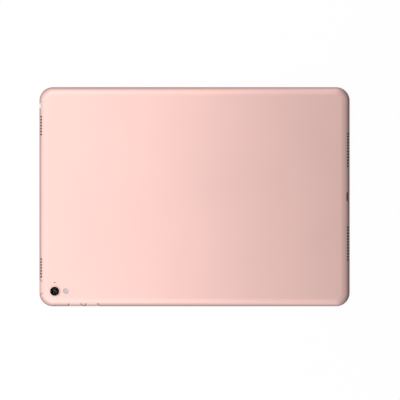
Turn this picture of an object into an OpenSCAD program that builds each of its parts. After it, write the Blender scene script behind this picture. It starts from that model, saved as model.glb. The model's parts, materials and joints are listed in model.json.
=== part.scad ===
// Tablet computer with a one-piece aluminium rear housing, lying on its cover glass.
// X runs along the long side, Y along the short side and Z out of the rear face.
// The origin is the centre of the cover glass's outer face. Every length is in millimetres.

/* [Body] */
// Length of the body along X
body_l = 240; // [236:0.5:246]
// Width of the body along Y
body_w = 169.5; // [167:0.5:174]
// Thickness of the body, without the camera ring
body_t = 6.1; // [6.1:0.05:6.4]
// Radius of the body's corners, seen from the rear
corner_r = 10.4; // [9.8:0.1:12]
// Width of the curved band round the rear face
edge_w = 7; // [6.6:0.1:7.2]
// Height above the cover glass where the side wall starts to curve
edge_z = 1; // [0.9:0.05:1.1]
// Chamfer between the side wall and the front rim
rim_chamfer = 0.45; // [0.3:0.05:0.5]
// Thickness of the housing's rear plate
rear_wall = 0.75; // [0.7:0.05:0.8]

/* [Cover glass and display] */
// Thickness of the cover glass
glass_t = 0.7; // [0.6:0.05:0.7]
// Gap from the body's outline to the cover glass's outline
glass_inset = 1.15; // [1.1:0.05:1.3]
// How far the cover glass stands proud of the front rim
glass_proud = 0.15; // [0.1:0.01:0.2]
// Length of the lit picture along X
picture_l = 197.1; // [194:0.1:198]
// Width of the lit picture along Y
picture_w = 147.8; // [146:0.1:149]

/* [Home button] */
// Distance of the home button's centre from the middle of the body
home_x = 109.2; // [109:0.1:109.5]
// Radius of the home button's hole in the cover glass
home_r = 5.5; // [5.3:0.1:5.6]
// Travel of the home button
home_travel = 0.3; // [0.2:0.05:0.3]

/* [Side keys] */
// Length of each side key
key_l = 9.7; // [9.2:0.1:9.8]
// Height of each side key
key_h = 2.2; // [1.8:0.1:2.3]
// Travel of each side key
key_travel = 0.3; // [0.2:0.05:0.3]
// Distance between the two volume keys
volume_pitch = 13.2; // [13:0.1:13.6]
// Place of the middle of the volume keys along X
volume_x = -85.8; // [-86.5:0.1:-85]
// Place of the power key along Y
power_y = -70; // [-70.2:0.1:-69.4]

/* [Rear camera and flash] */
// Place of the rear camera along X
camera_x = -108; // [-108.2:0.1:-107.5]
// Place of the rear camera along Y
camera_y = -73; // [-73.2:0.1:-72.6]
// Outer radius of the camera ring
camera_ring_r = 4.15; // [4:0.05:4.2]
// How far the camera ring stands out of the rear face
camera_proud = 0.9; // [0.6:0.1:1.2]
// Place of the flash window along X
flash_x = -99.5; // [-99.6:0.1:-99]
// Radius of the flash window
flash_r = 2.2; // [2:0.1:2.5]

/* [Sockets and sound openings] */
// Place of the headphone socket along Y
jack_y = 70.3; // [70:0.1:70.6]
// Radius of the headphone socket's bore
jack_r = 1.8; // [1.76:0.01:1.85]
// Depth of the headphone socket's bore
jack_depth = 12; // [11.5:0.1:12.5]
// Length of the dock connector's opening
dock_l = 7.6; // [7.4:0.1:8]
// Height of the dock connector's opening
dock_h = 2.5; // [2.3:0.1:2.6]
// Radius of each speaker hole
speaker_hole_r = 0.72; // [0.6:0.02:0.76]
// Distance between neighbouring speaker holes
speaker_pitch = 2.28; // [2.2:0.02:2.34]

/* [Battery] */
// Length of each battery cell along X
cell_l = 92; // [85:1:93]
// Width of each battery cell along Y
cell_w = 116; // [110:1:116]

/* [Hidden] */
$fn = 48;
eps = 0.01;
slip = 0.05;           // gap between pieces that are fixed to each other
run_gap = 0.12;        // gap round a key in its slot
edge_steps = 16;       // flat strips in the curved band's profile
corner_steps = 12;     // flat strips in each corner of an inner pocket
edge_h = body_t - edge_z;
rear_inner_z = body_t - rear_wall;

// Heights of the front stack, counted from the cover glass's outer face
mask_t = 0.05;
mask_z = glass_t;
tape_z = mask_z + mask_t + eps;
tape_t = 0.1;
ledge_z = tape_z + tape_t + eps;
panel_z = mask_z + mask_t + 0.02;
panel_t = 0.8;
tray_z = panel_z + panel_t + 0.02;
tray_t = 0.8;

// The two stepped pockets inside the housing
rebate_inset = 0.9;
low_pocket_inset = 2.6;
high_pocket_inset = 4.4;
pocket_step_z = 3.4;

// Sound openings, keys and sockets
sound_z = 3.9;
key_z = 3.3;
recess_depth = 0.6;
recess_margin = 0.75;
recess_rise = 0.5;
flange_t = 0.6;
switch_gap = 0.05;
jack_z = 3.2;
jack_wall = 0.3;
dock_z = 3.7;
left_speaker_y = 55;
right_speaker_y = 36.2;
left_holes = 7;
right_holes = 12;
speaker_box_t = 2.5;
speaker_box_depth = 13.8;
mesh_t = 0.3;
rear_mic = [-108, -66.3];
side_mic_x = -107.8;
front_camera_x = -109.5;
contact_pitch = 4.6;
contact_z = 2.5;
contact_r = 0.95;
insulator_r = 1.25;

// Battery, board and screws
cell_t = 2.4;
cell_z = rear_inner_z - 0.25 - cell_t;
cell_gap = 3;
cell_y = -18.5;
board_l = 188;
board_w = 34;
board_t = 0.7;
board_y = 61;
board_z = rear_inner_z - 0.35 - board_t;
board_screw_places = [for (x = [-90, -30, 30, 90], y = [-14.5, 14.5]) [x, board_y + y]];
ribbon_t = 0.15;

anodised = [0.87, 0.68, 0.65];
polished = [0.93, 0.76, 0.72];
steel = [0.75, 0.75, 0.77];
copper = [0.80, 0.52, 0.30];
polyimide = [0.72, 0.42, 0.10];

// ---- outlines and edge frames ----

// Point list of a rounded rectangle, with each corner split into corner_steps strips
function rounded_outline(l, w, r) = [
    for (corner = [0:3], i = [0:corner_steps])
        let (
            a = 90 * corner + 90 * i / corner_steps,
            cx = (corner == 0 || corner == 3 ? 1 : -1) * (l / 2 - r),
            cy = (corner < 2 ? 1 : -1) * (w / 2 - r)
        )
        [cx + r * cos(a), cy + r * sin(a)]
];

// Curve of the rear edge, moved inwards by d: u is 0 at the outline and negative inside it
function edge_curve(d) = [
    for (i = [0:edge_steps])
        let (
            t = 90 - 90 * i / edge_steps,
            across = sin(t) / edge_w,
            up = cos(t) / edge_h,
            n = norm([across, up])
        )
        [-edge_w * (1 - sin(t)) - d * across / n, edge_z + edge_h * cos(t) - d * up / n]
];

// Section of the body's edge from the front rim to the rear face, reaching inwards to u = -reach
function edge_section(d, reach) = concat(
    [[-reach, glass_proud], [-rim_chamfer - d, glass_proud], [-d, glass_proud + rim_chamfer]],
    edge_curve(d),
    [[-reach, body_t - d]]
);

module rounded_plate(l, w, r, z0, z1) {
    translate([0, 0, z0])
        linear_extrude(z1 - z0)
            polygon(rounded_outline(l, w, r));
}

module body_plate(inset, z0, z1) {
    rounded_plate(body_l - 2 * inset, body_w - 2 * inset, corner_r - inset, z0, z1);
}

// Bar along the local Y axis whose section is a list of [u, z] points
module edge_bar(points, length) {
    rotate([90, 0, 0])
        translate([0, 0, -length / 2])
            linear_extrude(length)
                polygon(points);
}

// Local frame at the middle of one side: +X points out of the body and X = 0 is its outline
module on_side(side) {
    turn = side == "right" ? 0 : side == "top" ? 90 : side == "left" ? 180 : -90;
    half = side == "right" || side == "left" ? body_l / 2 : body_w / 2;
    rotate([0, 0, turn]) translate([half, 0, 0]) children();
}

// Space outside the edge curve once it is moved inwards by d
module outside_edge(d, length) {
    edge_bar(concat(edge_curve(d), [[-edge_w, body_t + 2], [3, body_t + 2], [3, edge_z]]), length);
}

// Space inside the edge curve once it is moved inwards by d
module inside_edge(d, length, reach = 20) {
    edge_bar(edge_section(d, reach), length);
}

// Bar with round ends, lying along Y, that points along X from x0 to x1
module slot_bar(length, height, x0, x1) {
    r = height / 2;
    translate([x0, -(length / 2 - r), -r]) cube([x1 - x0, length - height, height]);
    for (side = [-1, 1])
        translate([x0, side * (length / 2 - r), 0])
            rotate([0, 90, 0]) cylinder(r = r, h = x1 - x0);
}

module x_cylinder(r, x0, x1) {
    translate([x0, 0, 0]) rotate([0, 90, 0]) cylinder(r = r, h = x1 - x0);
}

module box(x, y, z) {
    translate([x[0], y[0], z[0]]) cube([x[1] - x[0], y[1] - y[0], z[1] - z[0]]);
}

// ---- rear housing ----

module body_form() {
    rotate([90, 0, 90])
        translate([0, 0, -(body_l / 2 - corner_r)])
            linear_extrude(body_l - 2 * corner_r)
                polygon(concat(
                    [for (p = edge_section(0, corner_r)) [body_w / 2 + p[0], p[1]]],
                    [for (i = [len(edge_section(0, 0)) - 1:-1:0])
                        let (p = edge_section(0, corner_r)[i]) [-body_w / 2 - p[0], p[1]]]
                ));
    for (side = ["left", "right"])
        on_side(side) edge_bar(edge_section(0, corner_r), body_w - 2 * corner_r);
    for (sx = [-1, 1], sy = [-1, 1])
        translate([sx * (body_l / 2 - corner_r), sy * (body_w / 2 - corner_r), 0])
            rotate([0, 0, sx > 0 ? (sy > 0 ? 0 : -90) : (sy > 0 ? 90 : 180)])
                rotate_extrude(angle = 90)
                    polygon([for (p = edge_section(0, corner_r)) [corner_r + p[0], p[1]]]);
}

// Solid lands left in the low pocket, so that the keys slide in a thick wall
module key_lands() {
    on_side("bottom")
        translate([0, volume_x, 0])
            box([-high_pocket_inset, -1], [-14, 14], [ledge_z, body_t]);
    on_side("left")
        translate([0, -power_y, 0])
            box([-high_pocket_inset, -1], [-6.2, 6.2], [ledge_z, body_t]);
}

module pockets() {
    body_plate(rebate_inset, -1, ledge_z);
    difference() {
        body_plate(low_pocket_inset, ledge_z - eps, pocket_step_z);
        key_lands();
    }
    body_plate(high_pocket_inset, pocket_step_z - eps, rear_inner_z);
}

// Cut for one side key: a shallow recess that follows the curved wall, and a slot through it
module key_cut() {
    recess_l = key_l + 2 * recess_margin;
    recess_h = key_h + 2 * recess_rise;
    intersection() {
        translate([0, 0, key_z]) slot_bar(recess_l, recess_h, -edge_w, 1);
        outside_edge(recess_depth, recess_l + 1);
    }
    translate([0, 0, key_z])
        slot_bar(key_l + 2 * run_gap, key_h + 2 * run_gap, -high_pocket_inset - 1, 1);
    box([-high_pocket_inset - 3.2, -high_pocket_inset],
        [-key_l / 2 - 0.9, key_l / 2 + 0.9], [key_z - 1.75, key_z + 1.75]);
}

module speaker_cut(count) {
    for (i = [0:count - 1])
        translate([0, (i - (count - 1) / 2) * speaker_pitch, sound_z])
            x_cylinder(speaker_hole_r, -high_pocket_inset - 1, 1);
}

module side_cuts() {
    on_side("bottom") {
        for (s = [-1, 1]) translate([0, volume_x + s * volume_pitch / 2, 0]) key_cut();
        translate([0, side_mic_x, 2.9]) x_cylinder(0.4, -high_pocket_inset - 1, 1);
    }
    on_side("left") {
        translate([0, -power_y, 0]) key_cut();
        for (s = [-1, 1]) translate([0, s * left_speaker_y, 0]) speaker_cut(left_holes);
        translate([0, -jack_y, jack_z])
            x_cylinder(jack_r + jack_wall + 0.1, -high_pocket_inset - 1, 1);
    }
    on_side("right") {
        for (s = [-1, 1]) translate([0, s * right_speaker_y, 0]) speaker_cut(right_holes);
        translate([0, 0, dock_z]) slot_bar(dock_l, dock_h, -high_pocket_inset - 1, 1);
    }
    on_side("top")
        for (i = [-1:1])
            translate([0, i * contact_pitch, contact_z])
                x_cylinder(insulator_r + 0.03, -high_pocket_inset - 1, 1);
}

module rear_cuts() {
    translate([camera_x, camera_y, rear_inner_z - 1])
        cylinder(r = camera_ring_r + 0.1, h = 3);
    translate([flash_x, camera_y, rear_inner_z - 1]) cylinder(r = flash_r + slip, h = 3);
    translate([rear_mic[0], rear_mic[1], rear_inner_z - 1]) cylinder(r = 0.45, h = 3);
}

module board_bosses() {
    for (p = board_screw_places)
        translate([p[0], p[1], board_z + board_t + eps])
            difference() {
                cylinder(r = 1.6, h = rear_inner_z - board_z - board_t + 0.05);
                translate([0, 0, -1]) cylinder(r = 0.6, h = 1.3);
            }
}

module rear_housing() {
    color(anodised) {
        difference() {
            body_form();
            pockets();
            side_cuts();
            rear_cuts();
        }
        board_bosses();
    }
}

// ---- cover glass and display ----

module cover_glass() {
    color([0.9, 0.95, 1, 0.35])
        difference() {
            body_plate(glass_inset, 0, glass_t);
            translate([home_x, 0, -1]) cylinder(r = home_r, h = 3);
        }
}

module bezel_mask() {
    color("white")
        difference() {
            body_plate(glass_inset, mask_z, mask_z + mask_t);
            box([-picture_l / 2, picture_l / 2], [-picture_w / 2, picture_w / 2], [0, 2]);
            translate([home_x, 0, 0]) cylinder(r = home_r, h = 2);
            translate([front_camera_x, 0, 0]) cylinder(r = 1.5, h = 2);
            translate([front_camera_x, 9, 0]) cylinder(r = 0.9, h = 2);
        }
}

module ring_plate(outer_inset, inner_inset, z0, z1) {
    difference() {
        body_plate(outer_inset, z0, z1);
        body_plate(inner_inset, z0 - 1, z1 + 1);
    }
}

module glass_gasket() {
    color("white")
        ring_plate(rebate_inset + 0.02, glass_inset - 0.02, glass_proud, tape_z + tape_t);
}

module glass_adhesive() {
    color([0.15, 0.15, 0.15])
        ring_plate(glass_inset + slip, low_pocket_inset - 0.1, tape_z, tape_z + tape_t);
}

module lcd_panel() {
    color([0.05, 0.05, 0.06])
        rounded_plate(picture_l + 5.9, picture_w + 6.2, 0.5, panel_z, panel_z + panel_t);
}

module backlight_tray() {
    color(steel)
        rounded_plate(picture_l + 5.9, picture_w + 6.2, 1, tray_z, tray_z + tray_t);
}

// Ribbon that leaves the back of the display tray and lies against the logic board
module display_flex() {
    z0 = tray_z + tray_t;
    color(polyimide)
        translate([60, 0, 0])
            rotate([90, 0, 90])
                linear_extrude(24)
                    polygon([
                        [55, z0 + 0.02], [73, z0 + 0.02], [74.4, board_z - 0.6], [74.4, board_z - eps],
                        [68, board_z - eps], [68, board_z - ribbon_t], [74, board_z - ribbon_t],
                        [72.8, z0 + ribbon_t + 0.02], [55, z0 + ribbon_t + 0.02]
                    ]);
}

// ---- home button ----

module home_disc(r, z0, z1) {
    translate([home_x, 0, z0]) cylinder(r = r, h = z1 - z0);
}

module home_button_cap() {
    color("white") home_disc(home_r - 0.75, 0.1, glass_t);
}

module home_button_ring() {
    color(polished)
        difference() {
            home_disc(home_r - 0.1, 0.05, glass_t);
            home_disc(home_r - 0.72, -1, 2);
        }
}

module fingerprint_sensor() {
    color([0.1, 0.1, 0.12]) home_disc(home_r - 0.3, glass_t + 0.02, glass_t + 0.3);
}

module home_button_gasket() {
    color([0.12, 0.12, 0.12])
        difference() {
            home_disc(home_r + 0.9, mask_z + mask_t + eps, 1.15);
            home_disc(home_r + 0.1, 0, 2);
        }
}

home_switch_z = glass_t + 0.3 + home_travel + switch_gap;
home_bracket_z = home_switch_z + 0.4;

module home_button_switch() {
    color(steel) home_disc(1.6, home_switch_z, home_bracket_z);
}

module home_button_bracket() {
    color(steel) {
        box([home_x - 4.5, home_x + 3.2], [-8.6, 8.6], [home_bracket_z + eps, home_bracket_z + 0.3]);
        for (s = [-1, 1])
            box([home_x - 4.5, home_x + 3.2], [s * 8.1 - 0.5, s * 8.1 + 0.5],
                [panel_z, home_bracket_z + 0.1]);
    }
}

// ---- side keys and their switches ----

// A key: its cap fills the slot and its flange stays behind the wall
module side_key() {
    flange_x = -high_pocket_inset - slip;
    color(anodised)
        translate([0, 0, key_z]) {
            slot_bar(key_l, key_h, flange_x - flange_t / 2, -0.1);
            translate([flange_x - flange_t, -key_l / 2 - 0.5, -1.45])
                cube([flange_t, key_l + 1, 2.9]);
        }
}

module volume_up_button() {
    on_side("bottom") translate([0, volume_x - volume_pitch / 2, 0]) side_key();
}

module volume_down_button() {
    on_side("bottom") translate([0, volume_x + volume_pitch / 2, 0]) side_key();
}

module power_button() {
    on_side("left") translate([0, -power_y, 0]) side_key();
}

// A dome switch on a small stiff board behind each key; the board's back is at x = -7.5
module key_switches(places, board_length) {
    nub_x = -high_pocket_inset - slip - flange_t - key_travel - switch_gap;
    for (y = places)
        translate([0, y, key_z]) x_cylinder(1, nub_x - 1, nub_x);
    middle = (places[0] + places[len(places) - 1]) / 2;
    translate([0, middle, 0])
        box([nub_x - 1.5, nub_x - 0.9], [-board_length / 2, board_length / 2], [1.8, 4.9]);
}

module volume_switch_board() {
    color([0.1, 0.35, 0.2])
        on_side("bottom")
            key_switches([volume_x - volume_pitch / 2, volume_x + volume_pitch / 2], 22);
}

module power_switch_board() {
    color([0.1, 0.35, 0.2]) on_side("left") key_switches([-power_y], 7.6);
}

// Ribbon from the side keys up to the logic board, lying on the inside of the rear plate
module side_key_flex() {
    color(polyimide) {
        z = [rear_inner_z - 0.2, rear_inner_z - 0.2 + ribbon_t];
        box([-96.2, -94.2], [-78.4, 47], z);
        box([-96.2, -75], [-78.4, -76.6], z);
        box([-96.2, -92.2], [43, 47], z);
    }
}

// ---- rear camera, flash and microphones ----

module at_camera() {
    translate([camera_x, camera_y, 0]) children();
}

camera_top_z = body_t + camera_proud;
camera_window_r = camera_ring_r - 0.65;

module camera_ring() {
    color(polished)
        at_camera()
            rotate_extrude()
                polygon([
                    [camera_window_r - 0.35, body_t - 0.4], [camera_ring_r, body_t - 0.4],
                    [camera_ring_r, camera_top_z - 0.3], [camera_ring_r - 0.3, camera_top_z],
                    [camera_window_r + 0.03, camera_top_z],
                    [camera_window_r + 0.03, camera_top_z - 0.45],
                    [camera_window_r - 0.35, camera_top_z - 0.45]
                ]);
}

module camera_glass() {
    color([0.2, 0.22, 0.25, 0.35])
        at_camera()
            translate([0, 0, camera_top_z - 0.43]) cylinder(r = camera_window_r, h = 0.36);
}

module camera_lens_barrel() {
    color([0.03, 0.03, 0.03])
        at_camera()
            rotate_extrude()
                polygon([
                    [0, 3.6], [camera_window_r - 0.4, 3.6], [camera_window_r - 0.4, camera_top_z - 0.48],
                    [2.1, camera_top_z - 0.48], [1.45, camera_top_z - 1.1], [0, camera_top_z - 1.1]
                ]);
}

// Front lens: a shallow dome standing in the barrel's funnel
module camera_lens_element() {
    dome_r = 3;
    rim_r = 1.4;
    color([0.1, 0.12, 0.16, 0.6])
        at_camera()
            rotate_extrude()
                polygon(concat(
                    [[0, camera_top_z - 1.09]],
                    [for (i = [0:6])
                        let (r = rim_r * (1 - i / 6))
                        [r, camera_top_z - 1.05 + sqrt(dome_r * dome_r - r * r)
                            - sqrt(dome_r * dome_r - rim_r * rim_r)]]
                ));
}

module camera_module() {
    color([0.12, 0.12, 0.13])
        at_camera() box([-4, 4], [-4, 4], [2.6, 3.58]);
}

module camera_flex() {
    z = [2.7, 2.7 + ribbon_t];
    color(polyimide) {
        box([camera_x + 4.02, -94.2], [camera_y - 2.5, camera_y + 2.5], z);
        box([-96.2, -94.2], [camera_y, 48], z);
        box([-96.2, -91.5], [45, 48], z);
    }
}

module flash_window() {
    color([0.97, 0.93, 0.85, 0.7])
        translate([flash_x, camera_y, rear_inner_z + 0.1])
            cylinder(r = flash_r, h = rear_wall - 0.1);
}

// Two emitters, set on a slant under the window
module flash_leds() {
    color([0.95, 0.8, 0.35])
        translate([flash_x, camera_y, 0])
            rotate([0, 0, 45]) {
                box([-1.6, 1.6], [-2, 2], [4.3, 4.8]);
                for (s = [-1, 1])
                    box([-1, 1], [s * 0.95 - 0.7, s * 0.95 + 0.7], [4.79, rear_inner_z + 0.05]);
            }
}

module rear_microphone() {
    color(steel)
        translate([rear_mic[0], rear_mic[1], 0])
            box([-1.75, 1.75], [-1.35, 1.35], [4.2, rear_inner_z - slip]);
}

module side_microphone() {
    color(steel)
        on_side("bottom")
            translate([0, side_mic_x, 0])
                box([-high_pocket_inset - 1.4, -high_pocket_inset - slip], [-1.75, 1.75], [1.6, 4.3]);
}

// ---- front camera and light sensor ----

module front_camera() {
    color([0.06, 0.06, 0.06])
        difference() {
            box([front_camera_x - 3, front_camera_x + 3], [-3, 3], [panel_z, 3.4]);
            translate([front_camera_x, 0, 0]) cylinder(r = 1.25, h = 1.3);
        }
}

module front_camera_lens() {
    color([0.1, 0.12, 0.16, 0.6])
        translate([front_camera_x, 0, panel_z + 0.1]) cylinder(r = 1.2, h = 0.4);
}

module light_sensor() {
    color([0.25, 0.2, 0.3])
        box([front_camera_x - 1.2, front_camera_x + 1.2], [7.8, 10.2], [panel_z, 1.6]);
}

// ---- sockets ----

module at_jack() {
    on_side("left") translate([0, -jack_y, 0]) children();
}

jack_mouth = 3.5;

// White liner that follows the curved wall
module headphone_trim_ring() {
    color("white")
        at_jack()
            intersection() {
                translate([0, 0, jack_z])
                    difference() {
                        x_cylinder(jack_r + jack_wall + 0.05, -jack_mouth, 1);
                        x_cylinder(jack_r + 0.05, -jack_mouth - 1, 2);
                    }
                inside_edge(0.15, 8);
            }
}

module headphone_socket() {
    back = -jack_mouth - 0.02 - jack_depth;
    color([0.92, 0.92, 0.93])
        at_jack()
            translate([0, 0, jack_z])
                difference() {
                    x_cylinder(jack_r + jack_wall, back - 0.7, -jack_mouth - 0.02);
                    x_cylinder(jack_r, back, 1);
                }
}

module audio_flex() {
    color(polyimide)
        box([-103.7, -91.6], [jack_y - 2, jack_y + 2],
            [board_z - 0.02 - ribbon_t, board_z - 0.02]);
}

// Black liner that lines the slot and follows the curved wall
module dock_connector_shell() {
    nose_back = -high_pocket_inset - 0.1;
    color([0.08, 0.08, 0.08])
        on_side("right")
            intersection() {
                translate([0, 0, dock_z])
                    difference() {
                        union() {
                            slot_bar(dock_l - 0.1, dock_h - 0.1, nose_back - 0.5, 1);
                            slot_bar(dock_l + 1.2, 3, nose_back - 6, nose_back);
                        }
                        slot_bar(dock_l - 0.7, dock_h - 0.7, nose_back - 5.4, 2);
                    }
                inside_edge(0.15, 12);
            }
}

module dock_connector_contacts() {
    color([0.9, 0.72, 0.3])
        on_side("right")
            for (i = [0:7])
                translate([0, (i - 3.5) * 0.72, 0])
                    box([-9.6, -5], [-0.16, 0.16], [dock_z - 0.88, dock_z - 0.62]);
}

module dock_flex() {
    z = rear_inner_z - 0.2;
    color(polyimide) {
        box([97, 100.5], [0, 46], [z, z + ribbon_t]);
        box([97, 109.4], [-3, 3], [z, z + ribbon_t]);
    }
}

// ---- speakers ----

module speaker(side, y, count) {
    length = (count - 1) * speaker_pitch + 2.4;
    front = -high_pocket_inset - 0.1 - mesh_t - 0.02;
    color([0.08, 0.08, 0.08])
        on_side(side)
            translate([0, y, 0])
                box([front - speaker_box_depth, front], [-length / 2, length / 2],
                    [2.65, 2.65 + speaker_box_t]);
}

module speaker_left_upper() { speaker("left", -left_speaker_y, left_holes); }
module speaker_left_lower() { speaker("left", left_speaker_y, left_holes); }
module speaker_right_upper() { speaker("right", right_speaker_y, right_holes); }
module speaker_right_lower() { speaker("right", -right_speaker_y, right_holes); }

module speaker_mesh(y, count) {
    length = (count - 1) * speaker_pitch + 2;
    translate([0, y, 0])
        box([-high_pocket_inset - 0.1 - mesh_t, -high_pocket_inset - 0.1],
            [-length / 2, length / 2], [pocket_step_z + 0.01 - 0.4, 4.9]);
}

module speaker_meshes() {
    color([0.05, 0.05, 0.05]) {
        on_side("left") for (s = [-1, 1]) speaker_mesh(s * left_speaker_y, left_holes);
        on_side("right") for (s = [-1, 1]) speaker_mesh(s * right_speaker_y, right_holes);
    }
}

// ---- three-pad accessory connector on the long side ----

module accessory_contacts() {
    color([0.86, 0.75, 0.6])
        on_side("top")
            intersection() {
                for (i = [-1:1])
                    translate([0, i * contact_pitch, contact_z]) x_cylinder(contact_r, -5.2, 1);
                inside_edge(0.06, 20);
            }
}

module accessory_insulators() {
    color([0.9, 0.88, 0.87])
        on_side("top")
            intersection() {
                for (i = [-1:1])
                    translate([0, i * contact_pitch, contact_z])
                        difference() {
                            x_cylinder(insulator_r, -4.8, 1);
                            x_cylinder(contact_r + 0.02, -6, 2);
                        }
                inside_edge(0.06, 20);
            }
}

// ---- battery, board and antennas ----

module battery_cell(side) {
    color([0.1, 0.1, 0.11])
        translate([side * (cell_l + cell_gap) / 2, cell_y, 0])
            rounded_plate(cell_l, cell_w, 2, cell_z, cell_z + cell_t);
}

module battery_cell_left() { battery_cell(-1); }
module battery_cell_right() { battery_cell(1); }

module battery_board() {
    color([0.1, 0.35, 0.2]) {
        box([-22, 22], [cell_y + cell_w / 2 + 0.2, cell_y + cell_w / 2 + 3.6], [4, 4.6]);
        box([-1.3, 1.3], [cell_y - 30, cell_y + cell_w / 2 + 0.3], [4, 4.6]);
    }
}

module logic_board() {
    color([0.05, 0.25, 0.3])
        difference() {
            translate([0, board_y, 0])
                rounded_plate(board_l, board_w, 2, board_z, board_z + board_t);
            for (p = board_screw_places)
                translate([p[0], p[1], 0]) cylinder(r = 0.75, h = 10);
            box([-24, 24], [0, board_y - board_w / 2 + 1.8], [0, 10]);
        }
}

module shield(x, length) {
    color(steel)
        box([x - length / 2, x + length / 2], [board_y - 11, board_y + 11], [2.75, board_z - eps]);
}

module processor_shield() { shield(-60, 44); }
module radio_shield() { shield(0, 40); }

module logic_chips() {
    color([0.08, 0.08, 0.09]) {
        box([36, 50], [board_y - 9, board_y + 5], [3.2, board_z - eps]);
        box([-36, -26], [board_y - 6, board_y + 6], [3.2, board_z - eps]);
        for (i = [0:2])
            box([64 + 8 * i, 69 + 8 * i], [board_y - 12, board_y - 5], [3.4, board_z - eps]);
        box([-93.8, -91.6], [45.2, 48], [2.7 + ribbon_t + eps, board_z - eps]);
    }
}

module board_screws() {
    color(steel)
        for (p = board_screw_places)
            translate([p[0], p[1], 0]) {
                translate([0, 0, board_z - 0.3 - eps]) cylinder(r = 1.2, h = 0.3);
                translate([0, 0, board_z - 0.1]) cylinder(r = 0.5, h = board_t + 0.35);
            }
}

module antenna(y) {
    color(copper) box([103.5, 113], [y - 8, y + 8], [panel_z + 0.1, panel_z + 0.6]);
}

module antenna_upper() { antenna(66); }
module antenna_lower() { antenna(-66); }

// ---- one line for each node ----

rear_housing();
cover_glass();
bezel_mask();
glass_gasket();
glass_adhesive();
lcd_panel();
backlight_tray();
display_flex();
home_button_cap();
home_button_ring();
fingerprint_sensor();
home_button_gasket();
home_button_switch();
home_button_bracket();
volume_up_button();
volume_down_button();
power_button();
volume_switch_board();
power_switch_board();
side_key_flex();
camera_ring();
camera_glass();
camera_lens_barrel();
camera_lens_element();
camera_module();
camera_flex();
flash_window();
flash_leds();
rear_microphone();
side_microphone();
front_camera();
front_camera_lens();
light_sensor();
headphone_socket();
headphone_trim_ring();
audio_flex();
dock_connector_shell();
dock_connector_contacts();
dock_flex();
speaker_left_upper();
speaker_left_lower();
speaker_right_upper();
speaker_right_lower();
speaker_meshes();
accessory_contacts();
accessory_insulators();
battery_cell_left();
battery_cell_right();
battery_board();
logic_board();
processor_shield();
radio_shield();
logic_chips();
board_screws();
antenna_upper();
antenna_lower();
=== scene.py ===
"""Builds the looks of a rose-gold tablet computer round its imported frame."""

import json
import math

import bmesh
import bpy
import numpy as np
from mathutils.geometry import delaunay_2d_cdt
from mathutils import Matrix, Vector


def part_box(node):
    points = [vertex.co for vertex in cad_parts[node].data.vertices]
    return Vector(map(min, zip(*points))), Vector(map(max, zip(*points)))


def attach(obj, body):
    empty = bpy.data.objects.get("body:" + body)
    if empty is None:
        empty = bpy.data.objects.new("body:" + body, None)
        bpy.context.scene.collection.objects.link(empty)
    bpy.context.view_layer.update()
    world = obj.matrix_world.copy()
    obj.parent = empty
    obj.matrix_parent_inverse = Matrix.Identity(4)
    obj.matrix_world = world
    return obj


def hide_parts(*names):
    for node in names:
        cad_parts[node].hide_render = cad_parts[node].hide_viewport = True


bl_info = {
    "name": "Tablet Computer",
    "version": (1, 0, 0),
    "blender": (4, 5, 0),
    "location": "View3D > Sidebar > Tablet",
    "description": "Builds the housing, glass, keys, camera and sockets of a tablet computer",
    "category": "Add Mesh",
}

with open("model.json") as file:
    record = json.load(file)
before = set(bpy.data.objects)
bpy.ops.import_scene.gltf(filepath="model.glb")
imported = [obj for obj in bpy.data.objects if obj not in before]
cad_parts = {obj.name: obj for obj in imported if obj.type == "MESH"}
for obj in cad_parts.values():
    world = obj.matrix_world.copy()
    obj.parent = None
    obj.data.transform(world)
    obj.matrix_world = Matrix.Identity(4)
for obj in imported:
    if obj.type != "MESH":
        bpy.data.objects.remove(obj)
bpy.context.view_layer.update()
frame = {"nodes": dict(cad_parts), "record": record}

MM = 0.001
WELD = 2e-6  # distance in metres under which two points become one
CREASE = math.radians(32)  # faces that meet at more than this show an edge
DIAGONAL = 0.7071  # cosine of an eighth of a turn
SLOTS = {row["node"]: row["material_slot"] for row in frame["record"]["subparts"]}

# The four sides, counted anticlockwise as seen from the rear
DOCK_END, UPPER_SIDE, CAMERA_END, LOWER_SIDE = range(4)


def middle(node):
    """Centre of a CAD node's box, in millimetres."""
    low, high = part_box(node)
    return (np.array(low) + np.array(high)) / 2 / MM


def mm(value):
    """A length in metres, in millimetres."""
    return value / MM


# ---- settings ----


def length(name, description, default):
    """A length in metres that the user may change, with its default given in millimetres."""
    return bpy.props.FloatProperty(
        name=name, description=description, default=default * MM, unit="LENGTH", precision=5
    )


def colour(name, description, default):
    """A colour that the user may change."""
    return bpy.props.FloatVectorProperty(
        name=name, description=description, default=default, subtype="COLOR", size=3, min=0, max=1
    )


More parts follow.
